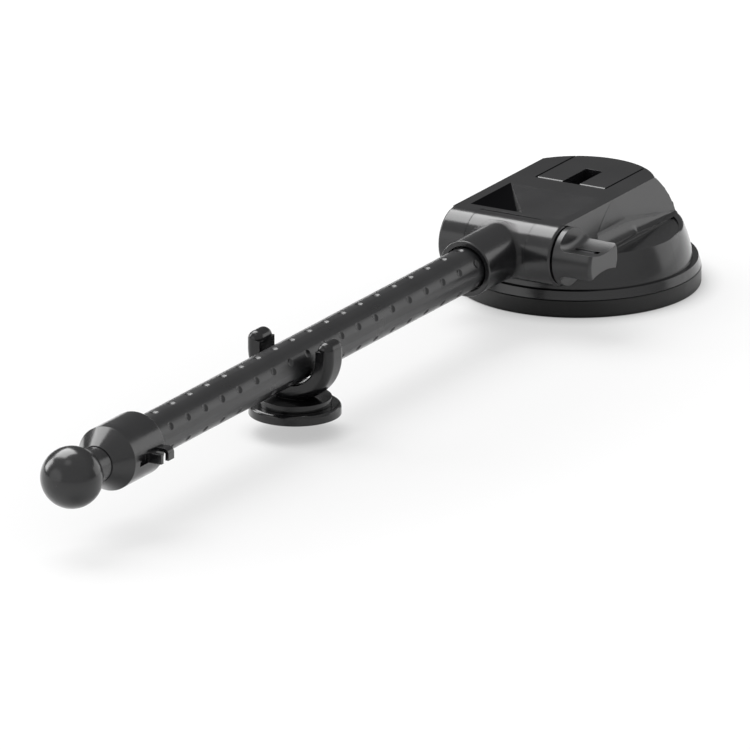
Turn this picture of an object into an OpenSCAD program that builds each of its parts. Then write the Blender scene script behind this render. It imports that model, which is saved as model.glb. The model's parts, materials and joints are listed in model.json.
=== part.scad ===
/* [View] */

// Node to draw, or all of them

/* [Suction base] */

// Radius of the pad under the base
pad_r = 33.9; // [32:0.1:36]
// Height of the pad
pad_h = 4.9; // [4:0.1:6]
// Height of the flange band above the pad
flange_h = 2.6; // [2:0.1:3]
// How far the flange band leans in at its top
flange_lean = 0.8; // [0.4:0.1:1.2]
// Edge round along the seam of pad and flange
seam_round = 0.25; // [0.1:0.05:0.4]
// Radius of the dome's section
dome_r = 43.8; // [40:0.1:50]
// Setback of the dome above the flange band
dome_setback = 2.3; // [2:0.1:3]
// Radius of the dome at the flat top
top_r = 21.0; // [20:0.1:22]
// Height of the flat top
top_z = 29.2; // [28:0.1:31]
// Half width of the block at its top
wall_top = 17.5; // [16.5:0.1:18.5]
// Half width of the block at the shelf
wall_low = 18.0; // [17.6:0.1:19]
// Height of the side shelves
shelf_z = 16.9; // [15:0.1:18]
// Edge round along the shelf
shelf_round = 1.0; // [0.5:0.1:1.5]
// Where the tapering blend starts behind the axis
blend_start = 22.0; // [18:0.5:24]
// Largest radius of the blend between wall and shelf
blend_r = 5.4; // [4:0.1:6]
// Growth of the blend radius per millimetre
blend_rate = 0.2; // [0.15:0.01:0.25]
// Depth of the finger recess in the shelf
finger_depth = 0.45; // [0.3:0.05:0.8]
// Half width at which the finger recess starts
finger_wall = 20.25; // [19.5:0.05:21]
// Radius of the recess's outer arc
finger_r = 26.0; // [24:0.1:27]
// Sideways centre of the recess's outer arc
finger_cx = 3.0; // [2:0.1:4]
// Setback of the arc's centre
finger_cy = -2.0; // [-3:0.1:-1]

/* [Underside] */

// Edge round under the pad
pad_round = 0.7; // [0.4:0.1:1]
// Width of a screw's slot
screw_slot = 0.5; // [0.4:0.05:0.6]
// Width of the housing's rim outside the clamp ring
rim_wide = 7.3; // [6.5:0.1:8]
// Width of the clamp ring
ring_wide = 5.1; // [4.6:0.1:5.6]
// Thickness of the clamp ring
ring_t = 1.8; // [1.5:0.1:2.2]
// Thickness of the membrane
membrane_t = 1.2; // [0.9:0.1:1.5]
// Radius of the membrane's flat middle
membrane_mid_r = 13.5; // [12:0.1:15]
// Height of the membrane's middle above the ground
membrane_lift = 3.2; // [2.8:0.1:3.6]
// Height of the hollow under the housing
hollow_z = 12.5; // [11:0.1:13]
// Number of clamp ring screws
screw_count = 6; // [4:1:8]
// Shank radius of a ring screw
screw_r = 1.0; // [0.8:0.1:1.2]
// Length of a ring screw's shank
screw_len = 6.0; // [4:0.5:7]
// Head radius of a ring screw
screw_head_r = 1.9; // [1.6:0.1:2.1]
// Head height of a ring screw
screw_head_h = 1.2; // [0.9:0.1:1.3]

/* [Lever and stem] */

// Half width of the lever
lever_half = 10.6; // [9:0.1:12]
// Distance of the lever's front edge ahead of its pin
lever_front = 3.9; // [3.5:0.1:4.2]
// Thickness of the lever's plate
lever_t = 4.0; // [3.5:0.1:4.2]
// Edge round along the lever's front
lever_round = 0.8; // [0.5:0.1:1]
// Depth of the lever's pin below the top
pin_drop = 4.5; // [4.3:0.1:4.8]
// Cam height with the lever shut
cam_high = 6.0; // [5.8:0.1:6.2]
// Travel of the stem
stem_travel = 2.5; // [2:0.1:2.6]
// Opening angle of the lever
lever_angle = 80; // [70:1:80]
// Reach of the cam's flat behind the pin
cam_heel = 4.2; // [3.5:0.1:4.5]
// Half width of the slot over the stem
slot_half = 2.7; // [2.6:0.1:3]
// End of the slot behind the pin
slot_end = 9.3; // [8.5:0.1:10]
// Inner reach of the lever's rear lip
lip_in = 21.5; // [20:0.1:22]
// Slant of the rear lip
lip_slant = 2.0; // [1:0.1:2.5]
// Drop of the rear lip below the pin
lip_drop = 4.7; // [3:0.1:5]
// Radius of the stem
stem_r = 2.4; // [2.2:0.05:2.5]
// Radius of the stem's foot
stem_foot_r = 4.0; // [3.6:0.1:5]
// Height of the stem's foot
stem_foot_h = 0.8; // [0.6:0.1:1]
// Radius of the cross pin
pin_r = 1.0; // [0.8:0.05:1.2]
// Half length of the cross pin
pin_half = 8.8; // [7:0.1:9]
// Radius of the stem plate
plate_r = 12.9; // [11:0.1:13]
// Thickness of the stem plate
plate_t = 1.8; // [1.5:0.1:2]
// Mean radius of the stem spring
spring_r = 6.0; // [5:0.1:8]
// Wire radius of the stem spring
spring_wire = 0.55; // [0.4:0.05:0.6]
// Curls of the stem spring
spring_curls = 3; // [2:1:3]

/* [Arm hinge] */

// Distance of the hinge axis ahead of the suction axis
hinge_fwd = 37.8; // [37:0.1:40]
// Height of the hinge axis
hinge_z = 20.5; // [20:0.1:21]
// Radius of the hinge barrel
barrel_r = 8.7; // [8.5:0.05:8.7]
// Edge round at the barrel's ends
barrel_round = 0.8; // [0.4:0.1:1]
// Left end of the barrel
barrel_left = 17.5; // [16.8:0.1:17.5]
// Half width of the hub between the ears
hub_half = 9.5; // [9.3:0.05:10]
// Lowest pose of the arm below the level
down_angle = 55; // [40:1:55]
// Distance of the housing's lip behind the hinge axis
hinge_lip = 1.6; // [1.2:0.1:2]
// Half width of the ramp in the top
ramp_half = 14.2; // [13:0.1:15]
// End of the ramp ahead of the suction axis
ramp_end = 12.0; // [11:0.1:14]
// Depth of the ramp at its front
ramp_depth = 4.5; // [3.5:0.1:5]
// Radius of the wall left round the hub seat
ramp_wall_r = 9.5; // [9.4:0.05:10]
// Outer radius of the sleeve on the hub
sleeve_r = 7.9; // [7.6:0.1:8.2]
// Reach of the sleeve ahead of the hinge axis
sleeve_len = 24.2; // [22:0.1:28]
// Fillet between sleeve and hub
sleeve_fillet = 1.3; // [1:0.1:1.4]
// Steps of the fillet
fillet_steps = 6; // [4:1:8]
// Start of the fillet ahead of the hinge axis
fillet_start = 3.6; // [3.6:0.1:4]
// Edge round at the sleeve's mouth
mouth_round = 0.4; // [0.2:0.1:0.5]
// Gap ring round the tube at the sleeve's mouth
mouth_gap = 0.45; // [0.4:0.05:0.6]
// Depth of the gap ring
mouth_depth = 4.0; // [3:0.5:6]
// Radius of the pivot bolt
bolt_r = 2.5; // [2.3:0.05:2.5]
// Corner radius of the bolt's hex head
bolt_head_r = 4.5; // [4.2:0.1:4.6]
// Height of the bolt's head
bolt_head_h = 2.8; // [2.5:0.1:3]
// Radius of the recess round the bolt's head
bolt_recess_r = 5.1; // [5:0.1:5.4]
// Radius of the bolt washer
bolt_washer_r = 4.9; // [4.6:0.1:4.9]
// Thickness of the bolt washer
bolt_washer_t = 0.8; // [0.6:0.1:1]
// Outer radius of the hub's bush
bush_r = 4.0; // [3.6:0.1:4.2]
// Outer radius of the friction washers
friction_r = 6.1; // [5.6:0.1:6.4]
// Thickness of the friction washers
friction_t = 0.9; // [0.7:0.1:1.1]

/* [Wing knob] */

// Thickness of the thrust washer behind the knob
thrust_t = 0.6; // [0.5:0.05:0.8]
// Radius of the thrust washer
thrust_r = 6.5; // [6:0.1:7]
// Radius of the knob at its base
knob_base_r = 8.1; // [7.8:0.1:8.2]
// Radius of the knob at its end
knob_end_r = 7.8; // [7.6:0.1:8]
// Length of the knob
knob_len = 11.75; // [11:0.05:12.5]
// Edge round at the knob's end
knob_round = 0.9; // [0.6:0.1:1.1]
// Half thickness of the wing in its middle
wing_half = 2.35; // [2.2:0.05:2.6]
// Radius of the hollow above and below the wing
scallop_r = 22.0; // [20:0.5:24]
// Start of the hollows from the knob's base
scallop_start = 1.5; // [1.3:0.1:2]
// Fillet at the root of the hollows
scallop_fillet = 2.2; // [1.8:0.1:2.4]
// Corner radius of the hex insert
insert_r = 4.6; // [4.4:0.1:4.8]
// Length of the hex insert
insert_len = 1.3; // [1.2:0.1:1.4]
// Depth of the bolt's bore in the knob
knob_bore = 10.2; // [10:0.1:10.4]
// Length of the bolt inside the knob
bolt_in_knob = 9.0; // [8.5:0.1:9.2]
// Clearance round the bolt in the knob
knob_bore_gap = 0.05; // [0.03:0.01:0.08]

/* [Tube and collar] */

// Outer radius of the arm tube
tube_r = 6.0; // [5.8:0.1:6.2]
// Wall of the arm tube
tube_wall = 1.0; // [0.8:0.1:1.05]
// Start of the tube ahead of the hinge axis
tube_start = 6.2; // [6:0.1:8]
// First ring of dents ahead of the suction axis
dent_first = 64.7; // [64.2:0.1:65]
// Pitch of the rings of dents
dent_pitch = 9.13; // [9:0.01:9.2]
// Number of rings of dents
dent_rings = 19; // [12:1:19]
// Dents in a ring
dents_around = 6; // [4:1:8]
// Radius of the ball that shapes a dent
dent_r = 2.2; // [1.8:0.1:2.4]
// Depth of a dent
dent_depth = 0.4; // [0.3:0.05:0.5]
// Start of the collar ahead of the suction axis
collar_start = 238.0; // [237:0.1:242]
// Length of the collar's round part
collar_len = 16.0; // [15:0.1:18]
// Radius of the collar
collar_r = 8.9; // [8.6:0.1:9.2]
// Edge round on the collar
collar_round = 0.8; // [0.4:0.1:1]
// Length of the collar's cone
nose_len = 5.6; // [5:0.1:6]
// Radius at the tip of the cone
nose_r = 5.1; // [5:0.1:5.6]
// Length of tube inside the collar
tube_in_collar = 10.7; // [9:0.1:11]
// Length of the collet ring
collet_len = 4.0; // [3:0.1:4.2]
// Largest radius of the collet ring
collet_r = 6.5; // [6.2:0.1:6.6]

/* [Cable clip] */

// Reach of the clip beyond the arm's axis
clip_reach = 12.7; // [12:0.1:13]
// Thickness of the rear hook's band
clip_t = 1.0; // [0.9:0.1:1.2]
// Outer corner radius of the rear hook
clip_round = 1.6; // [1.4:0.1:1.8]
// Start of the rear hook behind the collar's front
clip_rear = 13.9; // [13:0.1:14.2]
// Length of the rear hook
clip_rear_len = 3.0; // [2.5:0.1:3.2]
// Start of the front finger behind the collar's front
clip_front = 8.3; // [8:0.1:9]
// Length of the front finger
clip_front_len = 1.2; // [1:0.1:1.5]
// Height of the rear hook above the arm's axis
clip_up = 1.6; // [1.4:0.1:1.8]
// Height of the front finger above the arm's axis
clip_front_up = 1.0; // [0.8:0.1:1.2]
// Drop of the clip below the arm's axis
clip_down = 1.7; // [1.5:0.1:1.9]
// Thickness of the clip's saddle
clip_saddle = 0.6; // [0.5:0.1:0.8]
// Length of the window in the collar ahead of the clip
window_len = 4.5; // [4:0.1:5]
// Depth of that window
window_depth = 1.2; // [1:0.1:1.4]

/* [Ball rod] */

// Clearance of the rod in the tube
rod_gap = 0.5; // [0.35:0.05:0.6]
// Wall of the rod
rod_wall = 1.0; // [0.8:0.1:1.2]
// Length of the rod
rod_len = 111.0; // [105:1:115]
// Length of the glide at the rod's end
glide_len = 4.0; // [3:0.1:5]
// Radius of the ball
ball_r = 8.5; // [8.4:0.05:8.6]
// Distance of the ball ahead of the suction axis
ball_fwd = 272.5; // [271:0.1:275]
// Radius of the ball's neck
neck_r = 4.9; // [4.7:0.05:5]
// Length of the stud's tenon inside the rod
tenon_len = 9.0; // [7:0.5:12]

/* [Cradle and foot] */

// Distance of the cradle ahead of the suction axis
cradle_fwd = 153.9; // [150:0.1:158]
// Inner radius of the cradle
cradle_in = 8.5; // [8.2:0.05:8.7]
// Thickness of the prongs
prong_t = 4.8; // [4.5:0.1:5]
// Depth of the cradle along the tube
cradle_depth = 8.0; // [7:0.1:9]
// Height of the prongs above the arm's axis
prong_up = 6.9; // [6:0.1:8]
// Gap under the tube in the cradle
cradle_gap = 0.3; // [0.25:0.01:0.4]
// Edge round on the cradle's outer edges
prong_round = 2.2; // [1.6:0.1:2.3]
// Edge round on the cradle's inner edges
prong_edge = 0.4; // [0.2:0.1:0.6]
// Radius of the cradle's neck disc
stand_r = 10.0; // [9.6:0.1:10.4]
// Height of the neck disc
stand_h = 1.9; // [1.7:0.1:2.2]
// Height of the foot's underside above the ground
foot_lift = 5.2; // [5:0.1:5.4]
// Radius of the foot
foot_r = 12.6; // [12:0.1:13.5]
// Thickness of the foot disc
foot_t = 2.75; // [2.6:0.05:3]
// Edge round on the foot
foot_round = 0.9; // [0.6:0.1:1]
// Thickness of the foot's pad
sole_t = 1.0; // [0.8:0.1:1.2]
// Inset of the foot's pad
sole_inset = 1.5; // [1.2:0.1:1.8]
// How far the foot's pad stands proud
sole_show = 0.2; // [0.1:0.05:0.3]
// Radius of the swivel pin
swivel_r = 1.9; // [1.7:0.05:2]
// Radius of the swivel pin's head
swivel_head_r = 3.4; // [3:0.1:3.8]
// Height of the swivel pin's head
swivel_head_h = 0.8; // [0.6:0.1:0.9]
// Length of the swivel pin inside the cradle
swivel_in = 4.0; // [3:0.1:4.4]

/* [Fits] */

// Running clearance round pins and shafts
run_gap = 0.05; // [0.03:0.01:0.08]
// Clearance between pieces fixed to each other
fix_gap = 0.02; // [0.01:0.01:0.03]
// Clearance between faces that slide past each other
face_gap = 0.05; // [0.04:0.01:0.08]
// Clearance of the hub in its seat
seat_gap = 0.1; // [0.08:0.01:0.15]
// Clearance of the lever in its pocket
lever_gap = 0.28; // [0.15:0.01:0.35]

/* [Hidden] */

$fn = 96;
over = 1.0;
full_turn = 360;
half_turn = 180;
quarter_turn = 90;

flange_z = pad_h + flange_h;
flange_top_r = pad_r - flange_lean;
seam_r = pad_r - flange_lean * seam_round / flange_h;
dome_low = [pad_r - dome_setback, flange_z];
dome_high = [top_r, top_z];
dome_chord = norm(dome_high - dome_low);
dome_reach = sqrt(pow(dome_r, 2) - pow(dome_chord / 2, 2)) / dome_chord;
dome_offset = (top_z - flange_z) * dome_reach - (dome_low[0] + dome_high[0]) / 2;
dome_drop = (dome_low[0] - dome_high[0]) * dome_reach - (dome_low[1] + dome_high[1]) / 2;
ring_out = pad_r - rim_wide;
ring_in = ring_out - ring_wide;
pin_z = top_z - pin_drop;
pocket_z = pin_z - cam_high;
cam_rate = stem_travel / (lever_angle * PI / half_turn);
cam_low = cam_high - stem_travel;
cam_steps = 16;
spring_rings = 8;
spring_sides = 6;
nose_reach = norm([lever_front, pin_drop]);
pocket_r = nose_reach + lever_gap;
heel_reach = norm([cam_heel, cam_high]) + lever_gap;
ring_z = pad_h + face_gap;
rim_z = ring_z + ring_t;
rim_top = rim_z + membrane_t + face_gap;
screw_pcd_r = (ring_in + ring_out) / 2;
plate_z = membrane_lift + membrane_t;
draft = atan((wall_low - wall_top) / (top_z - shelf_z));
blend_share = tan(quarter_turn / 2 - draft / 2);
blend_run = blend_r / blend_rate;
blend_cx = blend_r * blend_share;
hub_r = barrel_r - face_gap;
seat_r = hub_r + seat_gap;
ear_in = hub_half + face_gap;
sleeve_clear = sleeve_r + sleeve_fillet + seat_gap;
knob_x = wall_top + thrust_t;
insert_x = knob_x + face_gap;
bolt_washer_x = -barrel_left + bolt_head_h + bolt_washer_t;
tube_in_r = tube_r - tube_wall;
rod_r = tube_in_r - rod_gap;
rod_in_r = rod_r - rod_wall;
tube_end = collar_start + tube_in_collar;
collar_front = collar_start + collar_len;
nose_end = collar_front + nose_len;
rod_end = nose_end + face_gap;
rod_start = rod_end - rod_len;
cradle_z = hinge_z - tube_r - cradle_gap + cradle_in;
cradle_out = cradle_in + prong_t;
prong_mid = cradle_in + prong_t / 2;
prong_tip = hinge_z + prong_up - prong_t / 2;
cradle_start = cradle_fwd - cradle_depth / 2;
cradle_end = cradle_start + cradle_depth;
sole_r = foot_r - sole_inset;
foot_z = foot_lift + sole_show;
swivel_z = foot_lift + sole_t + fix_gap;
stand_z = foot_z + foot_t + face_gap;

body_tint = [0.12, 0.12, 0.13];
rubber_tint = [0.06, 0.06, 0.06];
gel_tint = [0.16, 0.16, 0.17];
steel_tint = [0.7, 0.71, 0.73];
brass_tint = [0.75, 0.6, 0.3];
tube_tint = [0.18, 0.18, 0.19];
bush_tint = [0.85, 0.85, 0.82];

// Rod along X between two stations
module rod_x(r, x0, x1) {
    translate([x0, 0, 0])
        rotate([0, quarter_turn, 0])
            cylinder(h = x1 - x0, r = r);
}

// Rod running forward between two distances
module rod_f(r, f0, f1) {
    translate([0, -f0, 0])
        rotate([quarter_turn, 0, 0])
            cylinder(h = f1 - f0, r = r);
}

// Outline in Y and Z drawn out along X
module along_x(x0, x1) {
    translate([x0, 0, 0])
        rotate([quarter_turn, 0, quarter_turn])
            linear_extrude(x1 - x0)
                children();
}

// Outline in X and Z drawn out forward
module along_f(f0, f1) {
    translate([0, -f0, 0])
        rotate([quarter_turn, 0, 0])
            linear_extrude(f1 - f0)
                children();
}

// Outline of radius and forward distance turned about the arm's axis
module turned_f() {
    rotate([quarter_turn, 0, 0])
        rotate_extrude()
            children();
}

// Outline of radius and sideways distance turned about the hinge axis
module turned_x() {
    rotate([0, quarter_turn, 0])
        rotate_extrude()
            children();
}

// Waste outside a rounded corner at (x, y), with the signs of its outer sides
module corner(x, y, r, sx, sy) {
    difference() {
        translate([sx > 0 ? x - r : x - over, sy > 0 ? y - r : y - over])
            square([r + over, r + over]);
        translate([x - sx * r, y - sy * r])
            circle(r = r);
    }
}

module at_hinge() {
    translate([0, -hinge_fwd, hinge_z])
        children();
}

module at_pin() {
    translate([0, 0, pin_z])
        children();
}

// Half section of the dome with the flange band below it
module dome_section() {
    intersection() {
        translate([-dome_offset, -dome_drop])
            circle(r = dome_r);
        translate([0, pad_h])
            square([pad_r, top_z - pad_h]);
    }
    polygon([[0, pad_h], [pad_r - seam_round, pad_h], [seam_r, pad_h + seam_round],
             [flange_top_r, flange_z], [0, flange_z]]);
}

module dome() {
    rotate_extrude($fn = 2 * $fn)
        dome_section();
}

// Block between the side shelves, carried forward to the hinge barrel
module block() {
    at_hinge()
        rod_x(barrel_r, -barrel_left, wall_top);
    along_x(-barrel_left, wall_top)
        polygon([[-hinge_fwd, hinge_z - barrel_r], [0, hinge_z - barrel_r],
                 [0, top_z], [-hinge_fwd, top_z]]);
}

// Cone that hollows the tapering part of the blend
module blend_cone() {
    axis = [blend_rate * blend_share, -1, blend_rate];
    axis_len = norm(axis);
    reach = blend_run * axis_len;
    translate([wall_low, blend_start, shelf_z])
        rotate([0, acos(axis[2] / axis_len), atan2(axis[1], axis[0])])
            cylinder(h = 2 * reach, r1 = 0, r2 = 2 * blend_r);
}

// Concave blend between wall and shelf, growing toward the front
module blend() {
    front = blend_start - blend_run;
    difference() {
        intersection() {
            translate([wall_low, 0, shelf_z])
                linear_extrude(blend_r)
                    polygon([[0, blend_start], [-over, blend_start], [-over, front],
                             [blend_cx, front]]);
            along_x(wall_low - over, wall_low + blend_cx)
                polygon([[blend_start, shelf_z], [front, shelf_z],
                         [front, shelf_z + blend_r]]);
        }
        blend_cone();
    }
    along_f(-front, pad_r)
        difference() {
            translate([wall_low - over, shelf_z])
                square([blend_cx + over, blend_r]);
            translate([wall_low + blend_cx, shelf_z + blend_r])
                circle(r = blend_r);
        }
}

// Waste above one shelf, outside the wall and its blend
module shelf_waste() {
    difference() {
        along_f(-pad_r, pad_r)
            polygon([[wall_low, shelf_z], [wall_top, top_z],
                     [wall_top, top_z + over], [pad_r, top_z + over], [pad_r, shelf_z]]);
        blend();
    }
}

// Finger recess in one shelf
module finger_recess() {
    translate([0, 0, shelf_z - finger_depth])
        linear_extrude(finger_depth + blend_r)
            intersection() {
                translate([finger_wall, -pad_r])
                    square([pad_r, 2 * pad_r]);
                translate([finger_cx, finger_cy])
                    circle(r = finger_r);
            }
}

// Waste round the outer edge of the shelves
module shelf_edge() {
    z = shelf_z - shelf_round;
    r = sqrt(pow(dome_r - shelf_round, 2) - pow(z + dome_drop, 2)) - dome_offset;
    tilt = (z + dome_drop) / (dome_r - shelf_round);
    low = z + shelf_round * tilt;
    difference() {
        rotate_extrude($fn = 2 * $fn)
            difference() {
                translate([r, low])
                    square([pad_r - r, shelf_z + finger_depth - low]);
                translate([r, z])
                    circle(r = shelf_round);
            }
        translate([-wall_low - blend_cx, -pad_r, 0])
            cube([2 * (wall_low + blend_cx), pad_r + blend_start - blend_run, top_z]);
        translate([-wall_low - over, -pad_r, 0])
            cube([2 * (wall_low + over), 2 * pad_r, top_z]);
    }
}

// Ramp let into the top behind the hinge
module ramp() {
    difference() {
        along_x(-ramp_half, ramp_half)
            polygon([[-ramp_end, top_z], [-hinge_fwd, top_z - ramp_depth],
                     [-hinge_fwd, top_z + over], [-ramp_end, top_z + over]]);
        at_hinge()
            rod_x(ramp_wall_r, -ramp_half - over, ramp_half + over);
    }
}

// Seat of the hub between the ears, open to the front
module hub_seat() {
    at_hinge()
        rod_x(seat_r, -ear_in, ear_in);
    along_x(-ear_in, ear_in)
        polygon([[-hinge_fwd + hinge_lip, hinge_z], [-hinge_fwd + hinge_lip, top_z + over],
                 [-hinge_fwd - seat_r - over, top_z + over],
                 [-hinge_fwd - seat_r - over, hinge_z - seat_r - over],
                 [-hinge_fwd, hinge_z - seat_r - over], [-hinge_fwd, hinge_z]]);
    at_hinge()
        rotate([down_angle, 0, 0])
            rod_f(sleeve_clear, 0, sleeve_len);
}

// Pocket of the lever, its cam and its rear lip
module lever_pocket() {
    half = lever_half + lever_gap;
    at_pin()
        rod_x(pocket_r, -half, half);
    at_pin()
        translate([0, 0, -stem_travel])
            rod_x(pocket_r, -half, half);
    along_x(-half, half)
        polygon([[-pocket_r, pocket_z], [heel_reach, pocket_z],
                 [heel_reach, top_z - lever_t], [-pocket_r, pin_z]]);
    along_x(-half, half)
        polygon([[0, top_z - lever_t - lever_gap], [pad_r, top_z - lever_t - lever_gap],
                 [pad_r, top_z + over], [0, top_z + over]]);
    along_x(-half, half)
        polygon([[lip_in - lever_gap, top_z - lever_t],
                 [lip_in + lip_slant - lever_gap, pin_z - lip_drop - lever_gap],
                 [pad_r, pin_z - lip_drop - lever_gap], [pad_r, top_z - lever_t]]);
}

// Moulded housing of the suction base
module base_housing() {
    color(body_tint)
        difference() {
            union() {
                difference() {
                    dome();
                    shelf_waste();
                    mirror([1, 0, 0])
                        shelf_waste();
                }
                block();
            }
            finger_recess();
            mirror([1, 0, 0])
                finger_recess();
            shelf_edge();
            barrel_ends();
            ramp();
            hub_seat();
            lever_pocket();
            housing_bores();
        }
}

// Waste round the ends of the hinge barrel, ahead of the axis only
module barrel_ends() {
    at_hinge()
        intersection() {
            turned_x() {
                corner(barrel_r, wall_top, barrel_round, 1, 1);
                corner(barrel_r, -barrel_left, barrel_round, 1, -1);
            }
            translate([-wall_top - over, -barrel_r - over, -barrel_r - over])
                cube([2 * (wall_top + over), barrel_r + over, 2 * (barrel_r + over)]);
        }
}

// Bores for the bolt and the stem, and the hollow on the underside
module housing_bores() {
    at_hinge()
        rod_x(bolt_r + run_gap, -wall_top - over, wall_top + over);
    at_hinge()
        rod_x(bolt_recess_r, -wall_top - over, bolt_washer_x);
    cylinder(h = top_z, r = stem_r + run_gap);
    cylinder(h = hollow_z, r = ring_in);
    cylinder(h = rim_top, r = ring_out + fix_gap);
    for (i = [0 : screw_count - 1])
        rotate([0, 0, i * full_turn / screw_count])
            translate([screw_pcd_r, 0, 0])
                cylinder(h = ring_z + screw_head_h + screw_len + face_gap, r = screw_r + fix_gap);
}

// Soft pad under the rim of the base
module gel_pad() {
    color(gel_tint)
        rotate_extrude($fn = 2 * $fn)
            difference() {
                translate([ring_in, 0])
                    square([pad_r - ring_in, pad_h]);
                corner(pad_r, 0, pad_round, 1, -1);
                corner(pad_r, pad_h, seam_round, 1, 1);
            }
}

// Flexible membrane drawn up by the stem
module suction_membrane() {
    color(gel_tint)
        difference() {
            rotate_extrude()
                polygon([[0, membrane_lift], [membrane_mid_r, membrane_lift], [ring_in, rim_z],
                         [ring_out, rim_z], [ring_out, rim_z + membrane_t],
                         [ring_in - membrane_t / 2, rim_z + membrane_t],
                         [membrane_mid_r - membrane_t / 2, plate_z], [0, plate_z]]);
            for (i = [0 : screw_count - 1])
                rotate([0, 0, i * full_turn / screw_count])
                    translate([screw_pcd_r, 0, 0])
                        cylinder(h = rim_top, r = screw_r + fix_gap);
        }
}

// Ring that clamps the rim of the membrane
module clamp_ring() {
    color(body_tint)
        difference() {
            translate([0, 0, ring_z])
                cylinder(h = ring_t, r = ring_out);
            translate([0, 0, ring_z - over])
                cylinder(h = ring_t + 2 * over, r = ring_in + face_gap);
            for (i = [0 : screw_count - 1])
                rotate([0, 0, i * full_turn / screw_count])
                    translate([screw_pcd_r, 0, 0]) {
                        cylinder(h = rim_z + over, r = screw_r + fix_gap);
                        cylinder(h = ring_z + screw_head_h, r = screw_head_r + fix_gap);
                    }
        }
}

// Screws of the clamp ring
module ring_screws() {
    color(steel_tint)
        for (i = [0 : screw_count - 1])
            rotate([0, 0, i * full_turn / screw_count])
                translate([screw_pcd_r, 0, ring_z])
                    difference() {
                        union() {
                            cylinder(h = screw_head_h, r = screw_head_r);
                            cylinder(h = screw_head_h + screw_len, r = screw_r);
                        }
                        translate([-screw_head_r, -screw_slot / 2, -over])
                            cube([2 * screw_head_r, screw_slot, over + screw_slot]);
                    }
}

// Hex head bolt through the ears and the hub
module pivot_bolt() {
    color(steel_tint)
        at_hinge() {
            rod_x(bolt_r, bolt_washer_x - bolt_washer_t, knob_x + bolt_in_knob);
            translate([bolt_washer_x - bolt_washer_t - bolt_head_h, 0, 0])
                rotate([0, quarter_turn, 0])
                    linear_extrude(bolt_head_h)
                        circle(r = bolt_head_r, $fn = 6);
        }
}

// Washer under the bolt's head
module bolt_washer() {
    color(steel_tint)
        at_hinge()
            difference() {
                rod_x(bolt_washer_r, bolt_washer_x - bolt_washer_t, bolt_washer_x);
                rod_x(bolt_r + fix_gap, bolt_washer_x - bolt_washer_t - over, bolt_washer_x + over);
            }
}

// Stem that lifts the membrane, with a domed eye for the cross pin
module suction_stem() {
    color(steel_tint)
        difference() {
            union() {
                translate([0, 0, plate_z])
                    cylinder(h = pin_z - plate_z, r = stem_r);
                translate([0, 0, plate_z])
                    cylinder(h = stem_foot_h, r = stem_foot_r);
                at_pin()
                    sphere(r = stem_r);
            }
            at_pin()
                rod_x(pin_r + fix_gap, -stem_r - over, stem_r + over);
        }
}

// Plate that spreads the stem's pull
module stem_plate() {
    color(body_tint)
        difference() {
            translate([0, 0, plate_z])
                cylinder(h = plate_t, r = plate_r);
            translate([0, 0, plate_z - over])
                cylinder(h = plate_t + 2 * over, r = stem_r + fix_gap);
            translate([0, 0, plate_z - over])
                cylinder(h = stem_foot_h + fix_gap + over, r = stem_foot_r + fix_gap);
        }
}

// Pin that joins stem and lever
module cross_pin() {
    color(steel_tint)
        at_pin()
            rod_x(pin_r, -pin_half, pin_half);
}

// Spring that presses the stem down, one unbroken round wire
module stem_spring() {
    rings = spring_curls * spring_rings;
    low = plate_z + plate_t + spring_wire + face_gap;
    rise = hollow_z - face_gap - spring_wire - low;
    points = [for (i = [0 : rings], j = [0 : spring_sides - 1])
        let (turn = full_turn * i / spring_rings,
             side = full_turn * j / spring_sides,
             r = spring_r + spring_wire * cos(side),
             z = low + rise * i / rings + spring_wire * sin(side))
        [r * cos(turn), r * sin(turn), z]];
    walls = [for (i = [0 : rings - 1], j = [0 : spring_sides - 1])
        let (k = (j + 1) % spring_sides, a = i * spring_sides, b = a + spring_sides)
        [a + j, b + j, b + k, a + k]];
    start = [for (j = [0 : spring_sides - 1]) j];
    finish = [for (j = [spring_sides - 1 : -1 : 0]) rings * spring_sides + j];
    echo(least_gap = rise / spring_curls - 2 * spring_wire);
    color(steel_tint)
        polyhedron(points, concat([start], walls, [finish]));
}

// Side outline of the lever with its cam, in Y and Z about the pin
module lever_outline() {
    flat = quarter_turn + lever_angle;
    cam = [for (i = [0 : cam_steps])
        let (open = lever_angle * (1 - i / cam_steps),
             a = -quarter_turn - open,
             h = cam_high - cam_rate * open * PI / half_turn)
        [h * cos(a) - cam_rate * sin(a), h * sin(a) + cam_rate * cos(a)]];
    shoulder = (cam_low - lever_front * sin(lever_angle)) / -cos(lever_angle);
    plate = pin_drop - lever_t;
    difference() {
        polygon(concat([[-lever_front, pin_drop + over], [-lever_front, -shoulder]], cam,
                       [[cam_heel, -cam_high], [cam_high, plate], [lip_in, plate],
                        [lip_in + lip_slant, -lip_drop], [pad_r, -lip_drop],
                        [pad_r, pin_drop + over]]));
        corner(-lever_front, pin_drop, lever_round, -1, 1);
    }
}

// Cam lever that works the suction, with its slot over the stem
module cam_lever() {
    color(body_tint)
        difference() {
            intersection() {
                at_pin()
                    along_x(-lever_half, lever_half)
                        lever_outline();
                dome();
            }
            translate([-slot_half, -lever_front - over, 0])
                cube([2 * slot_half, lever_front + over + slot_end, top_z + over]);
            at_pin()
                rod_x(pin_r + run_gap, -pin_half - face_gap, pin_half + face_gap);
        }
}

// Washer between the right ear and the knob
module thrust_washer() {
    color(rubber_tint)
        at_hinge()
            difference() {
                rod_x(thrust_r, wall_top, knob_x);
                rod_x(bolt_r + run_gap, wall_top - over, knob_x + over);
            }
}

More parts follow.
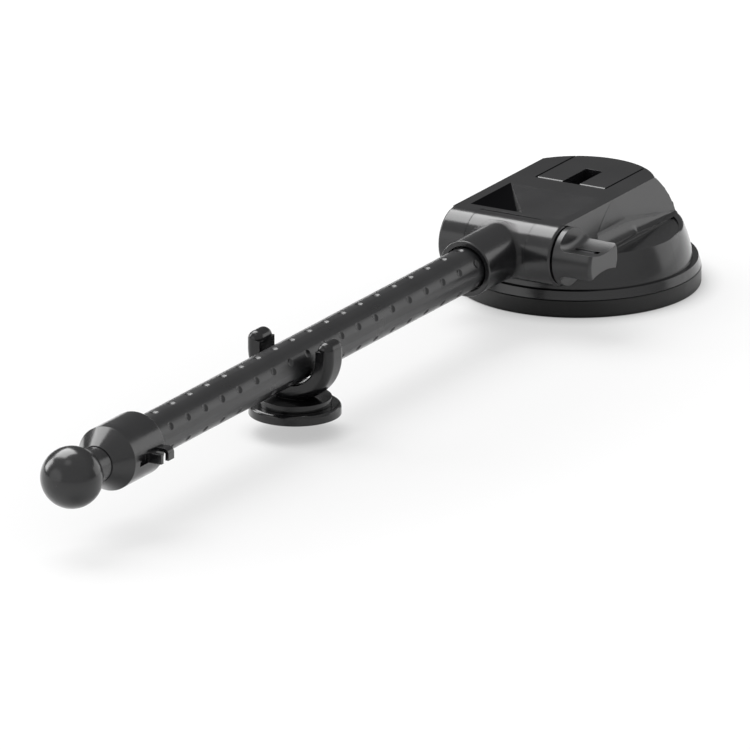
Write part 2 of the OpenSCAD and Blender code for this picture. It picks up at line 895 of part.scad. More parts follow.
// Winged knob with a hollow above and below its blade
module wing_knob() {
    color(body_tint)
        at_hinge()
            difference() {
                turned_x()
                    difference() {
                        polygon([[0, knob_x], [knob_base_r, knob_x],
                                 [knob_end_r, knob_x + knob_len], [0, knob_x + knob_len]]);
                        corner(knob_end_r, knob_x + knob_len, knob_round, 1, 1);
                    }
                for (side = [-1, 1])
                    translate([0, 0, side * (wing_half + scallop_r)])
                        turned_x()
                            difference() {
                                translate([0, knob_x + scallop_start])
                                    square([scallop_r, knob_len]);
                                corner(scallop_r, knob_x + scallop_start, scallop_fillet, 1, -1);
                            }
                rod_x(bolt_r + knob_bore_gap, knob_x - over, knob_x + knob_bore);
                translate([knob_x - over, 0, 0])
                    rotate([0, quarter_turn, 0])
                        linear_extrude(over + face_gap + insert_len)
                            circle(r = insert_r + fix_gap, $fn = 6);
            }
}

// Hex insert in the knob's base
module knob_insert() {
    color(brass_tint)
        at_hinge()
            difference() {
                translate([insert_x, 0, 0])
                    rotate([0, quarter_turn, 0])
                        linear_extrude(insert_len)
                            circle(r = insert_r, $fn = 6);
                rod_x(bolt_r + run_gap, insert_x - over, insert_x + insert_len + over);
            }
}

// Hub between the ears with the sleeve that holds the tube
module arm_hub() {
    color(body_tint)
        at_hinge()
            difference() {
                union() {
                    rod_x(hub_r, -hub_half, hub_half);
                    turned_f()
                        difference() {
                            square([sleeve_r, sleeve_len]);
                            corner(sleeve_r, sleeve_len, mouth_round, 1, 1);
                        }
                    hub_fillet();
                }
                rod_x(bush_r + fix_gap, -hub_half - over, hub_half + over);
                rod_x(friction_r + fix_gap, -hub_half - over, -hub_half + friction_t);
                rod_x(friction_r + fix_gap, hub_half - friction_t, hub_half + over);
                rod_f(tube_r + fix_gap, tube_start, sleeve_len + over);
                rod_f(tube_r + mouth_gap, sleeve_len - mouth_depth, sleeve_len + over);
            }
}

// Concave fillet between hub and sleeve in fine steps
module hub_fillet() {
    for (i = [1 : fillet_steps]) {
        a = quarter_turn * (i - fillet_steps / full_turn) / (fillet_steps + 1);
        intersection() {
            rod_x(hub_r + sleeve_fillet * (1 - cos(a)), -hub_half, hub_half);
            rod_f(sleeve_r + sleeve_fillet * (1 - sin(a)), fillet_start, sleeve_len);
        }
    }
}

// Bush between hub and bolt
module hub_bush() {
    color(bush_tint)
        at_hinge()
            difference() {
                rod_x(bush_r, -hub_half + friction_t + fix_gap, hub_half - friction_t - fix_gap);
                rod_x(bolt_r + run_gap, -hub_half, hub_half);
            }
}

// Friction washers on both faces of the hub
module friction_washers() {
    color(rubber_tint)
        at_hinge()
            for (side = [0, 1])
                mirror([side, 0, 0])
                    difference() {
                        rod_x(friction_r, hub_half - friction_t + fix_gap, hub_half);
                        rod_x(bolt_r + run_gap, hub_half - friction_t - over, hub_half + over);
                    }
}

// Arm tube with its rings of shallow dents
module arm_tube() {
    color(tube_tint)
        translate([0, 0, hinge_z])
            difference() {
                rod_f(tube_r, hinge_fwd + tube_start + fix_gap, tube_end);
                rod_f(tube_in_r, hinge_fwd, tube_end + over);
                for (i = [0 : dent_rings - 1], j = [0 : dents_around - 1])
                    translate([0, -dent_first - i * dent_pitch, 0])
                        rotate([0, j * full_turn / dents_around, 0])
                            translate([0, 0, tube_r + dent_r - dent_depth])
                                sphere(r = dent_r, $fn = 32);
            }
}

// Collet ring at the tube's end
module collet_ring() {
    low = tube_end + face_gap;
    high = tube_end + collet_len;
    color(bush_tint)
        translate([0, 0, hinge_z])
            turned_f()
                polygon([[rod_r + run_gap, low], [collet_r - over, low],
                         [collet_r - face_gap, (low + high) / 2],
                         [collet_r - over, high], [rod_r + run_gap, high]]);
}

// Twist collar that locks the rod, with a window ahead of the clip
module lock_collar() {
    window_end = collar_front - clip_front + clip_front_len + window_len;
    color(body_tint)
        translate([0, 0, hinge_z])
            difference() {
                turned_f()
                    difference() {
                        polygon([[0, collar_start], [collar_r, collar_start],
                                 [collar_r, collar_front], [nose_r, nose_end], [0, nose_end]]);
                        corner(collar_r, collar_start, collar_round, 1, -1);
                        translate([0, collar_start - over])
                            square([tube_r + run_gap, over + tube_in_collar]);
                        translate([0, tube_end - over])
                            square([collet_r, over + collet_len + face_gap]);
                        translate([0, tube_end])
                            square([rod_r + run_gap, nose_end]);
                    }
                translate([collar_r - window_depth, -window_end, -clip_down])
                    cube([collar_r, window_len, clip_down + clip_front_up]);
            }
}

// Open hook and finger that hold a cable along the collar
module cable_clip() {
    rear = collar_front - clip_rear;
    front = collar_front - clip_front;
    color(body_tint)
        translate([0, 0, hinge_z])
            difference() {
                union() {
                    along_f(rear, front + clip_front_len)
                        translate([0, -clip_down])
                            square([collar_r + clip_saddle, clip_down + clip_front_up]);
                    along_f(rear, rear + clip_rear_len)
                        rear_hook();
                    along_f(front, front + clip_front_len)
                        translate([0, -clip_down])
                            square([clip_reach, clip_down + clip_front_up]);
                }
                rod_f(collar_r + fix_gap, rear - over, front + clip_front_len + over);
            }
}

// Outline of the rear hook, a band with a rounded outer corner
module rear_hook() {
    band_in = clip_reach - clip_t;
    difference() {
        translate([0, -clip_down])
            square([clip_reach, clip_down + clip_up]);
        corner(clip_reach, clip_up, clip_round, 1, 1);
        difference() {
            translate([0, -clip_down - over])
                square([band_in, over + clip_down + clip_up - clip_t]);
            corner(band_in, clip_up - clip_t, clip_round - clip_t, 1, 1);
        }
    }
}

// Rod that slides in the tube
module inner_rod() {
    color(tube_tint)
        translate([0, 0, hinge_z])
            difference() {
                rod_f(rod_r, rod_start, rod_end);
                rod_f(rod_in_r, rod_start - over, rod_end + over);
            }
}

// Glide at the rod's rear end
module rod_glide() {
    color(bush_tint)
        translate([0, 0, hinge_z]) {
            rod_f(tube_in_r - run_gap, rod_start - glide_len, rod_start - face_gap);
            rod_f(rod_in_r - fix_gap, rod_start - glide_len, rod_start + glide_len);
        }
}

// Ball with its neck and the tenon that fits the rod
module ball_stud() {
    color(body_tint)
        translate([0, 0, hinge_z]) {
            translate([0, -ball_fwd, 0])
                rotate([quarter_turn, 0, 0])
                    sphere(r = ball_r);
            rod_f(neck_r, rod_end + fix_gap, ball_fwd);
            rod_f(rod_in_r - fix_gap, rod_end - tenon_len, rod_end + over);
        }
}

// Section of the cradle's bow, by distance from its middle and forward distance
module prong_section() {
    difference() {
        translate([cradle_in, cradle_start])
            square([prong_t, cradle_depth]);
        corner(cradle_out, cradle_end, prong_round, 1, 1);
        corner(cradle_out, cradle_start, prong_round, 1, -1);
        corner(cradle_in, cradle_end, prong_edge, -1, 1);
        corner(cradle_in, cradle_start, prong_edge, -1, -1);
    }
}

// Section of a prong's domed head, by distance from the prong's middle
module head_section() {
    difference() {
        translate([0, cradle_start])
            square([prong_t / 2, cradle_depth]);
        corner(prong_t / 2, cradle_end, prong_round, 1, 1);
        corner(prong_t / 2, cradle_start, prong_round, 1, -1);
    }
}

// Upright prong with its domed head
module prong() {
    translate([0, 0, cradle_z])
        linear_extrude(prong_tip - cradle_z)
            mirror([0, 1, 0])
                prong_section();
    intersection() {
        translate([prong_mid, 0, prong_tip])
            turned_f()
                head_section();
        translate([0, -cradle_end - over, prong_tip])
            cube([cradle_out + over, cradle_depth + 2 * over, prong_t]);
    }
}

// Horseshoe cradle under the tube with its neck disc
module cradle_fork() {
    color(body_tint)
        difference() {
            union() {
                intersection() {
                    translate([0, 0, cradle_z])
                        turned_f()
                            prong_section();
                    translate([-cradle_out - over, -cradle_end - over, cradle_z - cradle_out - over])
                        cube([2 * (cradle_out + over), cradle_depth + 2 * over, cradle_out + over]);
                }
                prong();
                mirror([1, 0, 0])
                    prong();
                translate([0, -cradle_fwd, stand_z])
                    cylinder(h = stand_h, r = stand_r);
            }
            translate([0, -cradle_fwd, stand_z - over])
                cylinder(h = over + swivel_in + face_gap, r = swivel_r + fix_gap);
        }
}

// Pin on which the foot turns
module swivel_pin() {
    color(steel_tint)
        translate([0, -cradle_fwd, swivel_z]) {
            cylinder(h = swivel_head_h, r = swivel_head_r);
            cylinder(h = stand_z + swivel_in - swivel_z, r = swivel_r);
        }
}

// Foot disc with a recess for its pad
module foot_disc() {
    color(body_tint)
        translate([0, -cradle_fwd, 0])
            difference() {
                rotate_extrude()
                    difference() {
                        translate([0, foot_z])
                            square([foot_r, foot_t]);
                        corner(foot_r, foot_z + foot_t, foot_round, 1, 1);
                    }
                cylinder(h = top_z, r = swivel_r + run_gap);
                cylinder(h = swivel_z + swivel_head_h + face_gap, r = swivel_head_r + run_gap);
                cylinder(h = foot_lift + sole_t, r = sole_r + fix_gap);
            }
}

// Soft pad let into the foot
module foot_pad() {
    color(rubber_tint)
        translate([0, -cradle_fwd, foot_lift])
            cylinder(h = sole_t, r = sole_r);
}

base_housing();
gel_pad();
suction_membrane();
clamp_ring();
ring_screws();
pivot_bolt();
bolt_washer();
suction_stem();
stem_plate();
cross_pin();
stem_spring();
cam_lever();
thrust_washer();
wing_knob();
knob_insert();
arm_hub();
hub_bush();
friction_washers();
arm_tube();
collet_ring();
lock_collar();
cable_clip();
inner_rod();
rod_glide();
ball_stud();
cradle_fork();
swivel_pin();
foot_disc();
foot_pad();
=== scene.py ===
import json
import math

import bpy
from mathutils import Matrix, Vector


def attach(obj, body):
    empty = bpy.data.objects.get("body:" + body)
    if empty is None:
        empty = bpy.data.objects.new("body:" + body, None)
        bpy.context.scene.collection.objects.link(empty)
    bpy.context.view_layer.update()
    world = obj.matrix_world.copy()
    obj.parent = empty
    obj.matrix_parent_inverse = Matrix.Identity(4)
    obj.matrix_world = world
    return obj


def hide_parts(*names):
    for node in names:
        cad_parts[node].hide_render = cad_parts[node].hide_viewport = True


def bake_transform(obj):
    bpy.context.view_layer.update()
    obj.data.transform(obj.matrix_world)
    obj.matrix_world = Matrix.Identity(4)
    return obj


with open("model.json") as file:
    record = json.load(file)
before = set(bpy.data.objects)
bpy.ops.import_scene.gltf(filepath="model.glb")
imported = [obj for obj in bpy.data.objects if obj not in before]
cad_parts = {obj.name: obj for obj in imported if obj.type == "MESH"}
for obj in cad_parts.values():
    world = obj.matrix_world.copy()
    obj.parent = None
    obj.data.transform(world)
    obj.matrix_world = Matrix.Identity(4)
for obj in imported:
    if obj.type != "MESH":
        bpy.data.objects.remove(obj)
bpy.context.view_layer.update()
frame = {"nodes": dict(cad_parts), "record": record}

MM = 0.001
nodes = frame["nodes"]

# Camera: the photograph's angle through a long lens
PHOTO_AZIMUTH = 30.0
PHOTO_ELEVATION = 17.9
HALF_ANGLE = math.radians(0.62)
SENSOR_MM = 10.0
FRAME_WIDTH = 203.07 * MM
AIM = Vector((-0.33, -110.16, 3.68)) * MM
CLIP_NEAR_SHARE = 0.1
CLIP_FAR_SHARE = 10


def view_direction(azimuth, elevation):
    """Unit vector from the object toward a camera at these angles, in degrees."""
    a = math.radians(azimuth)
    e = math.radians(elevation)
    return Vector((math.sin(a) * math.cos(e), -math.cos(a) * math.cos(e), math.sin(e)))


def make_camera():
    back = view_direction(PHOTO_AZIMUTH, PHOTO_ELEVATION)
    data = bpy.data.cameras.new("photo_camera")
    data.type = "PERSP"
    data.sensor_width = SENSOR_MM
    data.lens = SENSOR_MM / 2 / math.tan(HALF_ANGLE)
    distance = FRAME_WIDTH / 2 / math.tan(HALF_ANGLE)
    data.clip_start = distance * CLIP_NEAR_SHARE
    data.clip_end = distance * CLIP_FAR_SHARE
    camera = bpy.data.objects.new("photo_camera", data)
    bpy.context.scene.collection.objects.link(camera)
    camera.rotation_mode = "QUATERNION"
    camera.location = AIM + back * distance
    camera.rotation_quaternion = (-back).to_track_quat("-Z", "Y")
    bpy.context.scene.camera = camera


# Materials: colours are linear, and the scales of the noises are in waves a metre
BLACK = (0.0068, 0.0068, 0.0074)
# The cradle's own darker black, and also the black of the painted shade in shade()
DEEP_BLACK = (0.0032, 0.0032, 0.0035)
SOFT_BLACK = (0.005, 0.005, 0.005)
BLACK_OXIDE = (0.012, 0.012, 0.013)
BRIGHT_STEEL = (0.62, 0.63, 0.65)
PALE_BRASS = (0.72, 0.53, 0.25)
NATURAL_NYLON = (0.7, 0.7, 0.66)
PLASTIC_IOR = 1.48
NOISE_LOW = 0.3
NOISE_HIGH = 0.7
BEVEL_SAMPLES = 6
CLOUD_SCALE = 90.0
CLOUD_DETAIL = 4.0
GRAIN_SCALE = 2600.0
GRAIN_DETAIL = 2.0
GRAIN_STRENGTH = 0.12
GRAIN_DEPTH = 0.02 * MM
TINT_SHARE = 0.15
WEAR = 0.04
PLASTIC_EDGE = 0.16 * MM
SOFT_EDGE = 0.3 * MM
POLISH_SCALE = 300.0
POLISH_DETAIL = 3.0
FINE_SCALE = 1800.0
FINE_DETAIL = 2.0
FINE_STRENGTH = 0.15
FINE_DEPTH = 0.01 * MM
POLISHED = 0.05
WORN = 0.08
METAL_EDGE = 0.15 * MM
SHADE_ROUGH = (0.26, 0.34)


class Shader:
    """A material's node tree with short calls for the nodes it needs."""

    def __init__(self, name):
        self.material = bpy.data.materials.new(name)
        self.material.use_nodes = True
        self.tree = self.material.node_tree
        self.surface = self.tree.nodes["Principled BSDF"]
        self.output = self.tree.nodes["Material Output"]

    def add(self, kind, **values):
        node = self.tree.nodes.new(kind)
        for key, value in values.items():
            setattr(node, key, value)
        return node

    def link(self, a, out, b, into):
        self.tree.links.new(a.outputs[out], b.inputs[into])

    def constants(self, **values):
        """Sets constants on the surface, with an underscore for each space in a socket's name."""
        for key, value in values.items():
            self.surface.inputs[key.replace("_", " ")].default_value = value

    def place(self):
        return self.add("ShaderNodeTexCoord")

    def noise(self, scale, detail):
        node = self.add("ShaderNodeTexNoise")
        node.inputs["Scale"].default_value = scale
        node.inputs["Detail"].default_value = detail
        self.link(self.place(), "Object", node, "Vector")
        return node

    def spread(self, source, low, high):
        """Maps a noise to the range from low to high."""
        node = self.add("ShaderNodeMapRange")
        node.inputs["From Min"].default_value = NOISE_LOW
        node.inputs["From Max"].default_value = NOISE_HIGH
        node.inputs["To Min"].default_value = low
        node.inputs["To Max"].default_value = high
        self.link(source, 0, node, "Value")
        return node

    def relief(self, height, strength, depth, edge):
        """Fine relief of the surface, over hard edges that are rounded by a small radius."""
        bevel = self.add("ShaderNodeBevel", samples=BEVEL_SAMPLES)
        bevel.inputs["Radius"].default_value = edge
        bump = self.add("ShaderNodeBump")
        bump.inputs["Strength"].default_value = strength
        bump.inputs["Distance"].default_value = depth
        self.link(height, 0, bump, "Height")
        self.link(bevel, 0, bump, "Normal")
        self.link(bump, 0, self.surface, "Normal")


def plastic(name, colour, rough, grain=1.0, specular=0.5, edge=PLASTIC_EDGE):
    """Moulded plastic with a fine grain, a faint cloud of colour and a little handling wear."""
    s = Shader(name)
    s.constants(IOR=PLASTIC_IOR, Specular_IOR_Level=specular)
    cloud = s.noise(CLOUD_SCALE, CLOUD_DETAIL)
    tint = s.add("ShaderNodeMix", data_type="RGBA")
    tint.inputs[6].default_value = (*[c * (1 - TINT_SHARE) for c in colour], 1)
    tint.inputs[7].default_value = (*[c * (1 + TINT_SHARE) for c in colour], 1)
    s.link(cloud, 0, tint, 0)
    s.link(tint, 2, s.surface, "Base Color")
    s.link(s.spread(cloud, rough - WEAR, rough + WEAR), 0, s.surface, "Roughness")
    s.relief(s.noise(GRAIN_SCALE, GRAIN_DETAIL), GRAIN_STRENGTH * grain, GRAIN_DEPTH, edge)
    return s.material


def metal(name, colour, rough):
    """Bare metal with a fine grain, and a polish that varies from place to place."""
    s = Shader(name)
    s.constants(Metallic=1.0, Base_Color=(*colour, 1))
    patches = s.noise(POLISH_SCALE, POLISH_DETAIL)
    s.link(s.spread(patches, rough - POLISHED, rough + WORN), 0, s.surface, "Roughness")
    s.relief(s.noise(FINE_SCALE, FINE_DETAIL), FINE_STRENGTH, FINE_DEPTH, METAL_EDGE)
    return s.material


def shade(name, specular):
    """Painted shade: deep black that stands in for the shade in a hollow or a seam, with less sheen than the
    moulded plastic.
    """
    s = Shader(name)
    s.constants(IOR=PLASTIC_IOR, Specular_IOR_Level=specular, Base_Color=(*DEEP_BLACK, 1))
    s.link(s.spread(s.noise(CLOUD_SCALE, CLOUD_DETAIL), *SHADE_ROUGH), 0, s.surface, "Roughness")
    return s.material


def make_finishes():
    """One material for each finish, by name."""
    return {
        "body_plastic": plastic("body_plastic", BLACK, 0.2),
        "knob_plastic": plastic("knob_plastic", BLACK, 0.34, specular=0.55),
        "tube_metal": plastic("tube_metal", BLACK, 0.31, grain=1.5, specular=0.46),
        "gel": plastic("gel", SOFT_BLACK, 0.42, specular=0.36, edge=SOFT_EDGE),
        "cradle_plastic": plastic("cradle_plastic", DEEP_BLACK, 0.18, specular=0.38),
        "rubber_black": plastic("rubber_black", SOFT_BLACK, 0.55, specular=0.35),
        "steel": metal("steel", BRIGHT_STEEL, 0.3),
        "black_steel": metal("black_steel", BLACK_OXIDE, 0.34),
        "brass": metal("brass", PALE_BRASS, 0.28),
        "bush_plastic": plastic("bush_plastic", NATURAL_NYLON, 0.4),
    }


# Right and left walls of the housing's block, with the blend that grows toward the front
WALL_TOP = 17.5 * MM
WALL_LOW = 18.0 * MM
TOP_Z = 29.2 * MM
SHELF_Z = 16.9 * MM
WALL_SLOPE = (WALL_LOW - WALL_TOP) / (TOP_Z - SHELF_Z)
DOME_FRONT = -19.3 * MM
BLEND_START = 22.0 * MM
BLEND_R = 5.4 * MM
BLEND_RATE = 0.2
BLEND_FRONT = -20.6 * MM
BLEND_END_X = 20.27 * MM
STEP_START = -11.0 * MM
STEP_END = -3.0 * MM
STEP_LOW = 17.0 * MM
STEP_HIGH = 22.0 * MM
NEAR = 0.2 * MM
HAIR = 0.05 * MM
TOP_MARGIN = 0.01 * MM
SIDE_FACING = 0.15
FRONT_FACING = 0.5


def blend_circle(y):
    """Radius and centre (x, z) of the blend's section at y."""
    radius = min(BLEND_R, BLEND_RATE * (BLEND_START - y))
    share = math.tan(math.pi / 4 - math.atan(WALL_SLOPE) / 2)
    return radius, WALL_LOW + radius * share, SHELF_Z + radius


def wall_normal(point):
    """Normal of the ideal wall and blend at a point on the right side, or None away from them."""
    wall_x = WALL_TOP + WALL_SLOPE * (TOP_Z - point.z)
    radius, cx, cz = blend_circle(point.y)
    if point.z > cz - NEAR / 2:
        return Vector((1, 0, WALL_SLOPE)).normalized() if point.x < wall_x + NEAR / 2 else None
    across = Vector((cx - point.x, 0, cz - point.z))
    return across.normalized() if abs(across.length - radius) < NEAR else None


def ease(value, start, end):
    """Smooth step from 0 at start to 1 at end."""
    t = min(max((value - start) / (end - start), 0), 1)
    return t * t * (3 - 2 * t)


def ideal_x(point):
    """Where the moulded wall or blend lies at a right side point's y and z, or None away from them."""
    wall_x = WALL_TOP + WALL_SLOPE * (TOP_Z - point.z)
    radius, cx, cz = blend_circle(point.y)
    if point.z >= cz:
        x = wall_x
        belongs = abs(point.x - wall_x) < WALL_LOW - WALL_TOP + HAIR
    else:
        x = cx - math.sqrt(max(radius ** 2 - (cz - point.z) ** 2, 0))
        belongs = abs(math.hypot(cx - point.x, cz - point.z) - radius) < NEAR
    if not belongs:
        return None
    step = (wall_x - WALL_TOP) * (1 - ease(point.y, STEP_START, STEP_END))
    return x - step * ease(point.z, STEP_LOW, STEP_HIGH)


def mirrored(point, side):
    """The point's place on the right side, where side is 1 on the right and -1 on the left."""
    return Vector((side * point.x, point.y, point.z))


def level_wall(housing):
    """Takes the fine steps out of the shown wall and its blend, by up to 0.4 mm, with modifiers alone."""
    groups = {1: housing.vertex_groups.new(name="outward"), -1: housing.vertex_groups.new(name="inward")}
    for vertex in housing.data.vertices:
        point = vertex.co
        across = WALL_TOP - HAIR < abs(point.x) < BLEND_END_X
        along = BLEND_FRONT < point.y < BLEND_START - NEAR
        upright = SHELF_Z + HAIR < point.z < TOP_Z - TOP_MARGIN
        if not (across and along and upright):
            continue
        side = math.copysign(1, point.x)
        x = ideal_x(mirrored(point, side))
        if x is None:
            continue
        shift = side * (x - side * point.x)
        groups[1 if shift > 0 else -1].add([vertex.index], abs(shift) / MM, "REPLACE")
    for way, group in groups.items():
        move = housing.modifiers.new(group.name, "DISPLACE")
        move.direction = "X"
        move.vertex_group = group.name
        move.mid_level = 0
        move.strength = way * MM


def on_wall(face):
    """Whether a face of the housing is part of a side wall or of its blend."""
    middle = face.center
    across = WALL_TOP - HAIR < abs(middle.x)
    along = DOME_FRONT < middle.y < BLEND_START - NEAR
    upright = SHELF_Z + NEAR < middle.z < TOP_Z - HAIR
    facing = abs(face.normal.x) >= SIDE_FACING or abs(face.normal.y) >= FRONT_FACING
    if not (across and along and upright and facing):
        return False
    return wall_normal(mirrored(middle, math.copysign(1, middle.x))) is not None


def flow_wall(housing):
    """Shades the wall, the step in front of it and the blend under it as one moulded surface."""
    mesh = housing.data
    normals = [Vector(corner.vector) for corner in mesh.corner_normals]
    for face in filter(on_wall, mesh.polygons):
        side = math.copysign(1, face.center.x)
        for corner in face.loop_indices:
            point = mesh.vertices[mesh.loops[corner].vertex_index].co
            ideal = wall_normal(mirrored(point, side))
            if ideal is not None:
                normals[corner] = mirrored(ideal, side)
    mesh.normals_split_custom_set(normals)


# Nodes whose finish differs from their material slot's
SPECIAL_FINISH = {
    "wing_knob": "knob_plastic",
    "pivot_bolt": "black_steel",
    "cradle_fork": "cradle_plastic",
    "foot_disc": "cradle_plastic",
}


def dress_nodes():
    """Gives every CAD node its finish and smooths the housing's side walls."""
    finishes = make_finishes()
    for part in frame["record"]["subparts"]:
        node = nodes[part["node"]]
        finish = SPECIAL_FINISH.get(part["node"], part["material_slot"])
        node.data.materials.clear()
        node.data.materials.append(finishes[finish])
    flow_wall(nodes["base_housing"])
    level_wall(nodes["base_housing"])


def follow_stem(node):
    """Stand-in for a node: a copy of its mesh in its place, while the node itself is hidden."""
    soft = bpy.data.objects.new(f"{node}_soft", nodes[node].data.copy())
    bpy.context.scene.collection.objects.link(soft)
    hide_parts(node)
    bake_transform(soft)


def make_soft_pieces():
    """Stand-in copies of the membrane and the spring."""
    follow_stem("suction_membrane")
    follow_stem("stem_spring")


def sheet(name, rows, materials, pick=None):
    """Open sheet through rows of points, in metres, whose faces take pick(column) of the materials."""
    mesh = bpy.data.meshes.new(name)
    wide = len(rows[0])
    faces = [
        (r * wide + c, r * wide + c + 1, (r + 1) * wide + c + 1, (r + 1) * wide + c)
        for r in range(len(rows) - 1)
        for c in range(wide - 1)
    ]
    mesh.from_pydata([tuple(v) for row in rows for v in row], [], faces)
    for material in materials:
        mesh.materials.append(material)
    if pick:
        for index, face in enumerate(mesh.polygons):
            face.material_index = pick(index % (wide - 1))
    mesh.shade_smooth()
    obj = bpy.data.objects.new(name, mesh)
    bpy.context.scene.collection.objects.link(obj)
    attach(obj, "base")


# Scoop at the left of the ramp in the housing's top, darkened with painted shade
HINGE_Y = -37.8 * MM
HINGE_Z = 20.5 * MM
RAMP_HALF = 14.2 * MM
RAMP_END = -12.0 * MM
RAMP_SLOPE = 4.5 / 25.8
RAMP_RIM = 9.5 * MM
SCOOP_SPREAD = 0.7
SCOOP_LIFT = 0.02 * MM
SCOOP_START = 0.1 * MM
SCOOP_COLUMNS = 24
SCOOP_ROWS = 12
SCOOP_TIP_SHARE = 0.01
SCOOP_STRIP_SHARE = 0.04
SCOOP_SHADE_SHEENS = (0.0, 0.08, 0.18, 0.3, 0.42)
HALVINGS = 40


def scoop_point(across, along):
    """Point of the scoop: across is 0 at the left wall and 1 on the ramp's floor, along is metres forward."""
    width = SCOOP_SPREAD * along
    drop = RAMP_SLOPE * along
    bend = (width ** 2 + drop ** 2) / (2 * drop)
    rise = bend - math.sqrt(bend ** 2 - (width * max(1 - across, 0)) ** 2)
    return Vector((-RAMP_HALF + width * across, RAMP_END - along, TOP_Z - drop + rise + SCOOP_LIFT))


def scoop_reach(across):
    """How far forward the scoop runs before it meets the ramp's round front wall."""
    short = SCOOP_START
    long = -RAMP_END - HINGE_Y
    for _ in range(HALVINGS):
        middle = (short + long) / 2
        point = scoop_point(across, middle)
        if math.hypot(point.y - HINGE_Y, point.z - HINGE_Z) > RAMP_RIM:
            short = middle
        else:
            long = middle
    return short


def make_scoop_shade():
    """Concave scoop between the ramp's left wall and its floor, which widens toward the hinge, in painted
    shade whose sheen rises across a strip on the floor.
    """
    shares = [c / SCOOP_COLUMNS for c in range(SCOOP_COLUMNS + 1)]
    shares += [1 + SCOOP_STRIP_SHARE * k for k in range(1, len(SCOOP_SHADE_SHEENS))]
    reaches = [scoop_reach(a) for a in shares]
    rows = [
        [scoop_point(a, reach * max(r / SCOOP_ROWS, SCOOP_TIP_SHARE)) for a, reach in zip(shares, reaches)]
        for r in range(SCOOP_ROWS + 1)
    ]
    # Deep black of painted shade; its sheen rises across the strip beyond the floor edge, so the painted
    # shade fades out
    materials = [shade(f"scoop_{k}", sheen) for k, sheen in enumerate(SCOOP_SHADE_SHEENS)]
    sheet("ramp_scoop_shade", rows, materials, lambda column: max(column - SCOOP_COLUMNS + 1, 0))


# Painted shade over the seams along the lever's sides
LEVER_HALF = 10.6 * MM
LEVER_FRONT = -3.9 * MM
SEAM_IN = 0.02 * MM
SEAM_OUT = 0.6 * MM
SEAM_SHORT = 0.5 * MM
TOP_R = 21.0 * MM


def make_seam_shadows():
    """Dark strips of painted shade over the gaps at the lever's sides and about twice as wide, like the
    photo's seams.
    """
    # Painted shade without sheen, laid just above the top
    material = shade("seam_shade", 0.0)
    z = TOP_Z + SEAM_IN / 2
    inner = LEVER_HALF + SEAM_IN
    outer = LEVER_HALF + SEAM_OUT
    rear = math.sqrt(TOP_R ** 2 - outer ** 2) - SEAM_SHORT
    for side, name in ((-1, "seam_shade_left"), (1, "seam_shade_right")):
        rows = [[Vector((side * x, y, z)) for x in (inner, outer)] for y in (LEVER_FRONT, rear)]
        sheet(name, rows, [material])


# Lamps, each in a direction from the object, with lengths in metres
LIT_CENTRE = Vector((0, -110, 15)) * MM
LAMPS = (
    dict(name="overhead", way=(-0.508, 0.232, 0.83), away=1.1, size=(0.83, 0.86), radiance=7.5),
    dict(name="left_side", way=(-0.93, -0.11, 0.34), away=1.2, size=(0.45, 0.58), radiance=7.0),
    dict(name="front_left", way=(-0.5, -0.855, 0.14), away=1.2, size=(1.0, 1.0), radiance=0.9, oval=True),
    dict(name="front_top", way=(-0.04, -0.45, 0.89), away=1.2, size=(0.42, 0.42), radiance=1.0, oval=True),
    dict(name="rear_right", way=(0.5, 0.84, 0.2), away=1.3, size=(1.2, 0.56), radiance=1.5),
)


def make_lamp(lamp):
    """Soft lamp that faces the object."""
    oval = lamp.get("oval", False)
    data = bpy.data.lights.new(lamp["name"], "AREA")
    data.shape = "ELLIPSE" if oval else "RECTANGLE"
    data.size, data.size_y = lamp["size"]
    area = data.size * data.size_y * (math.pi / 4 if oval else 1)
    data.energy = lamp["radiance"] * math.pi * area
    holder = bpy.data.objects.new(lamp["name"], data)
    bpy.context.scene.collection.objects.link(holder)
    way = Vector(lamp["way"]).normalized()
    holder.location = LIT_CENTRE + way * lamp["away"]
    holder.rotation_mode = "QUATERNION"
    holder.rotation_quaternion = way.to_track_quat("Z", "Y")


# Room: its level by how far a direction turns toward the front
WHITE = (1, 1, 1, 1)
WHITE_LEVEL = 1.0
ROOM_FRONT = 0.95
ROOM_BACK = 0.2
FRONT_WAY = (0.35, -0.6, 0.72)
ROOM_BACK_AT = -0.45
ROOM_FRONT_AT = 0.8


def make_world():
    """Room that is pale in front of the object and dim behind it, white to the camera."""
    world = bpy.data.worlds.new("studio")
    bpy.context.scene.world = world
    world.use_nodes = True
    tree = world.node_tree
    tree.nodes.clear()
    out = tree.nodes.new("ShaderNodeOutputWorld")
    mix = tree.nodes.new("ShaderNodeMixShader")
    path = tree.nodes.new("ShaderNodeLightPath")
    seen = tree.nodes.new("ShaderNodeBackground")
    seen.inputs["Color"].default_value = WHITE
    seen.inputs["Strength"].default_value = WHITE_LEVEL
    lit = tree.nodes.new("ShaderNodeBackground")
    lit.inputs["Color"].default_value = WHITE
    place = tree.nodes.new("ShaderNodeTexCoord")
    facing = tree.nodes.new("ShaderNodeVectorMath")
    facing.operation = "DOT_PRODUCT"
    facing.inputs[1].default_value = FRONT_WAY
    level = tree.nodes.new("ShaderNodeMapRange")
    level.interpolation_type = "SMOOTHSTEP"
    level.inputs["From Min"].default_value = ROOM_BACK_AT
    level.inputs["From Max"].default_value = ROOM_FRONT_AT
    level.inputs["To Min"].default_value = ROOM_BACK
    level.inputs["To Max"].default_value = ROOM_FRONT
    tree.links.new(place.outputs["Generated"], facing.inputs[0])
    tree.links.new(facing.outputs["Value"], level.inputs["Value"])
    tree.links.new(level.outputs[0], lit.inputs["Strength"])
    tree.links.new(path.outputs["Is Camera Ray"], mix.inputs[0])
    tree.links.new(lit.outputs[0], mix.inputs[1])
    tree.links.new(seen.outputs[0], mix.inputs[2])
    tree.links.new(mix.outputs[0], out.inputs[0])
